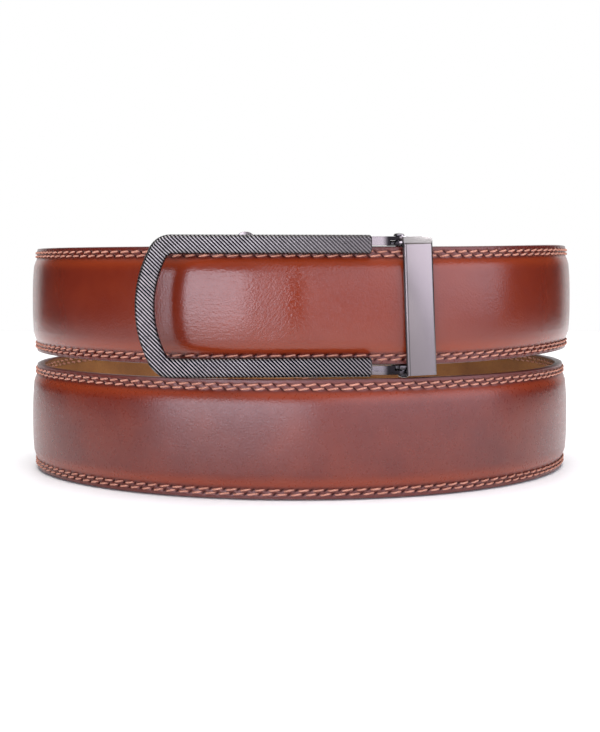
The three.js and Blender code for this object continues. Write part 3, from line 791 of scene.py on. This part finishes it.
def flat_map(length, across):
    """The map of a piece cut flat: length along and distance beside, and the two end points."""
    along = np.broadcast_to(length[:, None], across.shape)
    grid = np.stack([along, across], -1).reshape(-1, 2)
    return np.concatenate([grid, [[0.0, 0.0], [TIP_END, 0.0]]])


def strap_face(length, half, share):
    """The outer face's distance from the edge, and its height: margin, crown and stitch holes,
    rolled down over the last millimetre."""
    tip_gap = np.maximum(TIP_END - length, 0)[:, None]
    from_edge = np.minimum(half - np.abs(share * half), tip_gap + 0.4)
    height = crown_height(from_edge) - stitch_holes(length[:, None], from_edge)
    return from_edge, height - EDGE_ROLL * (1 - eased(from_edge, (0.3, 1.0)))


def make_strap():
    """One closed section carried along the route: the stitched and crowned outer face, two
    rounded painted edges and a plain back. The section narrows with the half width at the tip."""
    full = np.arange(0, TIP_END - 0.05, STITCH_PITCH / RINGS_PER_STITCH)
    length = np.concatenate([full, [TIP_END]])
    share = across_stations()
    back_share = np.array([-0.97, -0.5, 0.5, 0.97])
    edge_turn = np.radians(np.array([22, 50, 90, 130, 158]))
    edge_in = EDGE_ROUND * (1 - np.sin(edge_turn))
    edge_out = (MARGIN + LINING_BACK) / 2 + EDGE_HALF * np.cos(edge_turn)
    half = half_width(length)[:, None]
    from_edge, face_out = strap_face(length, half, share)
    low_edge = -(half - edge_in)
    high_edge = (half - edge_in)[:, ::-1]
    across = np.concatenate([share * half, low_edge, back_share * half, high_edge], axis=1)
    edge_rows = np.broadcast_to(edge_out, low_edge.shape)
    back_out = np.full((len(length), len(back_share)), STRAP_BACK)
    outwards = np.concatenate([face_out, edge_rows, back_out, edge_rows[:, ::-1]], axis=1)
    grid = route.place(np.broadcast_to(length[:, None], across.shape), across, outwards)
    points, faces = closed_loft(grid)
    painted = np.ones(across.shape)
    painted[:, :len(share)] = np.clip(1 - from_edge / 0.9, 0, 1)
    mapped = np.sign(across) * (HALF_WIDTH - np.maximum(half - np.abs(across), 0))
    paint = np.concatenate([painted.ravel(), [1, 1]])
    uv = flat_map(length, mapped)
    piece = make_piece("strap_leather", points, faces, leather, uv, {"paint": paint})
    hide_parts("strap")


def make_lining():
    """A thin plate along the route, set in from the painted edges, softly rounded at its sides."""
    length = np.linspace(0, TIP_END - 0.8, 620)
    side = np.array([1.0, 0.995, 0.98, 0.9, 0.82, 0.6, 0.3])
    share = np.concatenate([side, [0.0], -side[::-1]])
    half = (half_width(length) - (HALF_WIDTH - LINING_HALF))[:, None]
    across_back = share * half
    front_share = np.array([-0.97, 0.0, 0.97])
    rise = 0.16 * np.clip((1 - np.abs(share)) / 0.02, 0, 1)
    back = np.broadcast_to(STRAP_BACK - rise, across_back.shape)
    front = np.full((len(length), len(front_share)), LINING_FRONT)
    across = np.concatenate([across_back, front_share * half], axis=1)
    outwards = np.concatenate([back, front], axis=1)
    grid = route.place(np.broadcast_to(length[:, None], across.shape), across, outwards)
    points, faces = closed_loft(grid)
    piece = make_piece("tan_lining", points, faces, lining, flat_map(length, across))
    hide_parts("strap_lining")


def tip_stitches(offset):
    """Centre and heading of the stitches of a row round the tip, evenly spaced along its line."""
    reach = np.sin(np.linspace(0, math.pi / 2, 400))
    length = TIP_START + (TIP_LENGTH - offset) * reach
    half = half_width(TIP_START + TIP_LENGTH * reach) - offset
    upper = np.stack([length, np.maximum(half, 0)], -1)
    contour = np.concatenate([upper * [1, -1], upper[::-1]])
    steps = line_lengths(contour)
    count = int(steps[-1] / STITCH_PITCH)
    middle = (np.arange(count) + 0.5) * steps[-1] / count
    point = at_lengths(contour, steps, middle)
    ahead = at_lengths(contour, steps, middle + 0.5) - point
    heading = np.arctan2(ahead[:, 1], ahead[:, 0])
    return np.concatenate([point, heading[:, None]], axis=1)


def stitch_centres():
    """Centre and heading of each stitch on the strap's flat pattern: straight rows along both
    edges, a half pitch apart from each other, and rows that follow the rounded tip."""
    centres = []
    for row, offset in enumerate(STITCH_ROWS):
        start = (0.5 + row * 0.5) * STITCH_PITCH
        straight = np.arange(start, TIP_START - STITCH_PITCH / 2, STITCH_PITCH)
        for side in (-1, 1):
            across = np.full_like(straight, side * (HALF_WIDTH - offset))
            centres.append(np.stack([straight, across, np.zeros_like(straight)], -1))
        centres.append(tip_stitches(offset))
    return np.concatenate(centres)


def make_stitches(name, rings, sides, outer):
    """Short twisted threads: each ring is a two-lobed circle that turns along the thread, carried
    over a low arch whose ends dive into the holes, and slanted a little across its row. Each
    stitch's slant, length and twist vary a little, from a seeded draw."""
    centres = stitch_centres()
    seed = 7 if outer else 11
    jitter = np.random.default_rng(seed).normal(0, 1, (len(centres), 3))
    t = np.linspace(-1, 1, rings)
    angle = np.linspace(0, 2 * math.pi, sides, endpoint=False)
    reach = STITCH_PITCH * STITCH_REACH
    slant = STITCH_SLANT * (1 + 0.25 * jitter[:, :1])
    along = reach * t[None] * (1 + 0.03 * jitter[:, 1:2])
    sideways = slant * along + 0.03 * np.sin(math.pi * t)[None]
    arch = STITCH_ARCH * (1 - np.abs(t) ** 3) - STITCH_DIVE * np.abs(t) ** 5
    thick = THREAD_RADIUS * np.sqrt(np.clip(1.06 - np.abs(t) ** 4, 0.05, 1))
    twist = t[None, :, None] * PLY_TURN + angle + jitter[:, 2:3, None]
    lobe = np.cos(2 * twist)
    radius = thick[None, :, None] * (1 + PLY_LOBE * lobe)
    cosine = np.cos(centres[:, 2])[:, None, None]
    sine = np.sin(centres[:, 2])[:, None, None]
    local_side = sideways[:, :, None] + radius * np.cos(angle)
    local_along = np.broadcast_to(along[:, :, None], local_side.shape)
    length = centres[:, 0, None, None] + cosine * local_along - sine * local_side
    across = centres[:, 1, None, None] + sine * local_along + cosine * local_side
    lift = arch[None, :, None] + radius * np.sin(angle) * 0.9
    outwards = MARGIN - 0.06 + lift if outer else LINING_BACK - lift * 0.8
    points, faces = tube_solid(route.place(length, across, outwards))
    # Painted shade: full in the valleys between the plies and on the end caps.
    valley = np.clip(0.5 - 0.5 * lobe, 0, 1) ** 2
    ends = np.ones((len(centres), 2))
    ply_shade = np.concatenate([valley.reshape(len(centres), -1), ends], axis=1).ravel()
    piece = make_piece(name, points, faces, thread, values={"ply_shade": ply_shade})


# Buckle

FLAT_CENTRE = COIL_RADIUS - FLAT_CORNER_RADIUS
FLAT_DISTANCE = FLAT_CORNER_RADIUS + math.sqrt(FLAT_CENTRE ** 2 - FLAT_HALF_LENGTH ** 2)


def from_buckle(points):
    """Points of the buckle's own frame, set in the belt's."""
    turned = np.array(BUCKLE)
    return points @ turned[:3, :3].T + turned[:3, 3]


# Half the angle of the frame's end arc, and the length along the outer line from the end's
# middle to the middle of a corner
END_SPREAD = math.asin((FRAME_HEIGHT / 2 - CORNER_RADIUS) / (END_RADIUS - CORNER_RADIUS))
CORNER_PLACE = END_RADIUS * END_SPREAD + CORNER_RADIUS * (math.pi / 2 - END_SPREAD) / 2


def frame_line(step):
    """The frame's outer line by length: arm, corner arc, end arc, corner arc, arm. Gives x, z and
    the direction of the outward normal."""
    half = FRAME_HEIGHT / 2
    end_x = END_RADIUS - FRAME_LEFT
    corner_x = end_x - (END_RADIUS - CORNER_RADIUS) * math.cos(END_SPREAD)
    arm = FRAME_RIGHT - corner_x
    bend = CORNER_RADIUS * (math.pi / 2 - END_SPREAD)
    bow = END_RADIUS * END_SPREAD
    total = arm + bend + bow
    s = np.linspace(0, total, int(total / step) + 1)
    on_arm = s <= arm
    on_bend = (s > arm) & (s <= arm + bend)
    bend_angle = math.pi / 2 + np.clip(s - arm, 0, bend) / CORNER_RADIUS
    bow_angle = math.pi - END_SPREAD + np.clip(s - arm - bend, 0, bow) / END_RADIUS
    normal = np.where(on_arm, math.pi / 2, np.where(on_bend, bend_angle, bow_angle))
    x = np.where(on_arm, FRAME_RIGHT - s, corner_x + CORNER_RADIUS * np.cos(bend_angle))
    z = np.where(on_arm, half, half - CORNER_RADIUS + CORNER_RADIUS * np.sin(bend_angle))
    bowed = ~on_arm & ~on_bend
    x = np.where(bowed, end_x + END_RADIUS * np.cos(bow_angle), x)
    z = np.where(bowed, END_RADIUS * np.sin(bow_angle), z)
    upper = np.stack([x, z, normal], -1)
    lower = upper[:-1][::-1] * [1, -1, -1]
    return np.concatenate([upper, lower])


def bar_section(samples):
    """The bar across: a superellipse dome on straight sides, closed by a flat back of 4 points.
    Gives across from the outer edge inwards, forward from the back, and the section's normal."""
    angle = np.linspace(0, math.pi, samples)
    half = BAR_WIDTH / 2
    across = half * np.sign(np.cos(angle)) * np.abs(np.cos(angle)) ** BAR_SQUARENESS
    forward = np.abs(np.sin(angle)) ** (BAR_SQUARENESS * 1.15)
    curve = np.stack([across, BAR_SIDE + forward * (BAR_DEPTH - BAR_SIDE)], -1)
    steps = line_lengths(curve)
    curve = at_lengths(curve, steps, np.linspace(0, steps[-1], samples))
    inner = half - BAR_CHAMFER
    back = [[-half, BAR_CHAMFER], [-inner, 0.0], [inner, 0.0], [half, BAR_CHAMFER]]
    section = np.concatenate([curve, back])
    tangent = np.roll(section, -1, axis=0) - np.roll(section, 1, axis=0)
    normal = unit(np.stack([tangent[:, 1], -tangent[:, 0]], -1))
    return section, normal


def bar_shade(section):
    """Painted shade across the bar: clear on the dome, near black down its sides from 0.70 to 0.96
    of its half width, and between the two on its back."""
    near_side = np.clip((np.abs(section[:, 0]) * 2 / BAR_WIDTH - 0.70) / 0.26, 0, 1)
    low_side = np.clip(1 - section[:, 1] / 1.1, 0, 1)
    dark = np.maximum(near_side ** 1.5, low_side)
    dark[-BACK_POINTS:] = BACK_SHADE
    return dark * 0.9


def make_frame():
    """The bar's section carried round the frame's line, with slanting grooves pressed into it:
    depth times a sharpened cosine of x + z over the groove pitch. Both ends are rounded off, and
    a bell of extra width on the inner side fills each inner corner."""
    line = frame_line(0.15)
    section, section_normal = bar_section(58)
    s = line_lengths(line[:, :2])
    to_end = np.minimum(s, s[-1] - s)
    inside = np.clip(1 - to_end / ARM_END_ROUND, 0, 1)
    shrink = 1 - np.sqrt(1 - inside ** 2)
    across_scale = 1 - shrink * 2 * ARM_END_ROUND / BAR_WIDTH * ARM_END_NARROWING
    depth_scale = 1 - shrink * ARM_END_SINKING
    radial = np.stack([np.cos(line[:, 2]), np.sin(line[:, 2])], -1)
    centre = line[:, :2] - radial * BAR_WIDTH / 2
    side = section[None, :, 0] * across_scale[:, None]
    inward = np.clip(-section[None, :, 0] * 2 / BAR_WIDTH, 0, 1)
    from_corner = np.abs(np.abs(s - s[-1] / 2) - CORNER_PLACE)
    side = side - INNER_FILLET * np.exp(-(from_corner[:, None] / FILLET_SPREAD) ** 2) * inward
    forward = section[None, :, 1] * depth_scale[:, None]
    x = centre[:, :1] + radial[:, :1] * side
    z = centre[:, 1:] + radial[:, 1:] * side
    phase = (x + z) / math.sqrt(2) / GROOVE_PITCH
    wave = (0.5 + 0.5 * np.cos(2 * math.pi * phase)) ** GROOVE_SHARPNESS
    fronting = np.clip(section[None, :, 1] / 0.6, 0, 1) * (1 - inside[:, None] ** 2)
    dent = GROOVE_DEPTH * wave * fronting
    x = x - dent * section_normal[None, :, 0] * radial[:, :1]
    z = z - dent * section_normal[None, :, 0] * radial[:, 1:]
    forward = forward - dent * section_normal[None, :, 1]
    y = -FLAT_DISTANCE - FRAME_BACK - forward
    points, faces = closed_loft(from_buckle(np.stack([x, y, z], -1)))
    # Painted shade down the bar's sides and on its back.
    rim = np.broadcast_to(bar_shade(section), wave.shape)
    values = {
        "front": np.concatenate([fronting.ravel(), [0, 0]]),
        "rim": np.concatenate([rim.ravel(), [0, 0]]),
    }
    piece = make_piece("grooved_frame", points, faces, grooved, values=values)
    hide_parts("buckle_frame")


def softened(node, name, width, look, body="root"):
    """A copy of a metal node with its flat faces made whole and every edge rounded over."""
    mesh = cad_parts[node].data.copy()
    mesh.name = name
    work = bmesh.new()
    work.from_mesh(mesh)
    bmesh.ops.remove_doubles(work, verts=work.verts, dist=MERGED * MM)
    bmesh.ops.dissolve_limit(
        work, angle_limit=math.radians(FLAT_WITHIN), verts=work.verts, edges=work.edges,
    )
    work.to_mesh(mesh)
    work.free()
    mesh.materials.clear()
    mesh.materials.append(look)
    mesh.polygons.foreach_set("use_smooth", np.full(len(mesh.polygons), True))
    piece = add_object(name, mesh)
    bevel = piece.modifiers.new("rounded_edges", "BEVEL")
    bevel.width = width * MM
    bevel.segments = 3
    bevel.limit_method = "ANGLE"
    bevel.angle_limit = math.radians(ROUNDED_OVER)
    bevel.harden_normals = True
    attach(piece, body)
    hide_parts(node)


def make_shade_collars():
    """A near-black collar round each rivet, between the rail and the keeper's lap, standing in
    for the shade there: a stadium in plan, lofted upwards through a quarter-rounded section,
    from a flat foot to a flat top. The lower one is the same upside down, with its faces
    turned round."""
    turn = np.linspace(0, 2 * math.pi, 48, endpoint=False)
    rise = np.array([0, 0, 0.12, 0.5, 0.85, 0.96, 1, 1])[:, None]
    inset = np.array([0.5, 0.1, 0, 0, 0, 0.12, 0.4, 0.9])[:, None]
    points, faces = [], []
    for node, sign in (("clamp_rivet_top", 1), ("clamp_rivet_bottom", -1)):
        low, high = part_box(node)
        place = BUCKLE.inverted() @ ((Vector(low) + Vector(high)) / 2 / MM)
        half = COLLAR_HALF - inset
        x = place.x - COLLAR_SHIFT + half * np.cos(turn) + np.sign(np.cos(turn)) * COLLAR_LONG
        y = place.y + half * np.sin(turn)
        z = np.broadcast_to(sign * (COLLAR_FOOT + COLLAR_RISE * rise), x.shape)
        collar, groups = closed_loft(from_buckle(np.stack([x, y, z], -1)))
        faces += [group[:, ::sign] + len(points) * len(collar) for group in groups]
        points.append(collar)
    piece = make_piece("rivet_shade_collars", np.concatenate(points), faces, collar_shade_metal)


def assign(node, look):
    """Gives a node that stays as it is its finished material."""
    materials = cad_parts[node].data.materials
    materials.clear()
    materials.append(look)


make_strap()
make_lining()
make_stitches("face_stitches", 8, 6, outer=True)
make_stitches("lining_stitches", 5, 6, outer=False)
make_frame()
softened("buckle_body", "body_channel", 0.25, smooth_metal)
softened("keeper_clamp", "keeper_and_clamp", 0.22, smooth_metal)
softened("release_lever", "thumb_lever", 0.22, smooth_metal, body="lever")
for pin_node in ("lever_pin", "clamp_rivet_top", "clamp_rivet_bottom"):
    softened(pin_node, pin_node + "_rounded", 0.12, dark_metal)
make_shade_collars()
assign("ratchet_track", track_plastic)


# Studio, in metres and picture pixels

BOX_DISTANCE = 0.9
BOX_TARGET = (0, 0, 0.04)
OVERHEAD_STRENGTH = 3.6
OVERHEAD_WIDTH = 50
BEHIND_EDGE = (0.76, 0.84)
WHITE_BEHIND = 0.92
ABOVE_EDGE = (0.4, 0.7)
WHITE_ABOVE = 0.45
DIM_ROOM = 0.04
FOCAL_PIXELS = 1385
FRAME_LONG_SIDE = 732
HORIZON_ROW = 264
CAMERA_DISTANCE = 0.400
CAMERA_HEIGHT = 0.0685
CAMERA_OFFSET = 0.0007


def make_floor():
    """A flat sheet of pale paper, just under the belt."""
    side = 0.5
    front = -0.62
    back = 0.9
    outline = [(-side, front), (side, front), (side, back), (-side, back)]
    corners = [(x, y, -0.0002) for x, y in outline]
    mesh = bpy.data.meshes.new("studio_floor")
    mesh.from_pydata(corners, [], [(0, 1, 2, 3)])
    look = new_look("floor_paper")
    fibre = look.noise(look.place(), 300.0, 3.0, 0.6)
    colour = look.mix(look.between(fibre, 0.3, 0.7), DARK_PAPER, LIGHT_PAPER)
    mesh.materials.append(look.finish(colour, 0.5))
    add_object("studio_floor", mesh)


def soft_box(name, azimuth, elevation, size, radiance, colour):
    """An area light on a sphere about the belt, facing it, with its angles in degrees. Its power
    is its radiance times pi times its area."""
    a = math.radians(azimuth)
    e = math.radians(elevation)
    direction = Vector((math.sin(a) * math.cos(e), -math.cos(a) * math.cos(e), math.sin(e)))
    data = bpy.data.lights.new(name, "AREA")
    data.shape = "RECTANGLE"
    data.size, data.size_y = size
    data.energy = radiance * math.pi * size[0] * size[1]
    data.color = colour
    light = add_object(name, data)
    light.location = Vector(BOX_TARGET) + BOX_DISTANCE * direction
    light.rotation_euler = (-direction).to_track_quat("-Z", "Y").to_euler()
    light.visible_camera = False


def overhead_light():
    """A broad soft light straight above, as a sun disc, so that it lights the whole table alike."""
    data = bpy.data.lights.new("overhead", "SUN")
    data.energy = OVERHEAD_STRENGTH
    data.angle = math.radians(OVERHEAD_WIDTH)
    add_object("overhead", data).location = (0, 0, 1.5)


def make_world():
    """White for the camera. For light and reflections, white behind the belt and overhead, dim at
    the sides, as between two boards."""
    look = Look(bpy.data.worlds.new("studio"))
    direction = look.node("ShaderNodeTexCoord", output=0)
    _, y, z = look.split(direction)
    behind = look.between(y, *BEHIND_EDGE, 0.0, WHITE_BEHIND)
    above = look.between(z, *ABOVE_EDGE, 0.0, WHITE_ABOVE)
    level = look.math("MAXIMUM", behind, above) + DIM_ROOM
    seen = look.node("ShaderNodeLightPath", output=0)
    strength = seen + (1 - seen) * level
    sky = look.node("ShaderNodeBackground", {}, {"Color": (1, 1, 1, 1), "Strength": strength})
    look.node("ShaderNodeOutputWorld", {}, {"Surface": sky})
    bpy.context.scene.world = look.owner


def make_camera():
    """Straight in front and level, shifted so that the belt sits in the picture as in the photo."""
    data = bpy.data.cameras.new("camera")
    data.sensor_width = 36.0
    data.lens = FOCAL_PIXELS * data.sensor_width / FRAME_LONG_SIDE
    data.shift_y = (HORIZON_ROW - FRAME_LONG_SIDE / 2) / FRAME_LONG_SIDE
    data.clip_start = 0.01
    camera = add_object("camera", data)
    front = CENTRE[1] * MM - (COIL_RADIUS + CROWN) * MM
    camera.location = (CENTRE[0] * MM + CAMERA_OFFSET, front - CAMERA_DISTANCE, CAMERA_HEIGHT)
    camera.rotation_euler = (math.pi / 2, 0, 0)
    bpy.context.scene.camera = camera


make_floor()
make_world()
overhead_light()
soft_box(
    "left_box", azimuth=-24.8, elevation=4,
    size=(1.044, 0.32), radiance=6.6, colour=(0.96, 0.97, 1.12),
)
soft_box(
    "right_box", azimuth=49, elevation=13.5,
    size=(1.36, 0.50), radiance=2.75, colour=(0.97, 0.96, 1.12),
)
make_camera()
bpy.context.scene.view_settings.view_transform = "Standard"
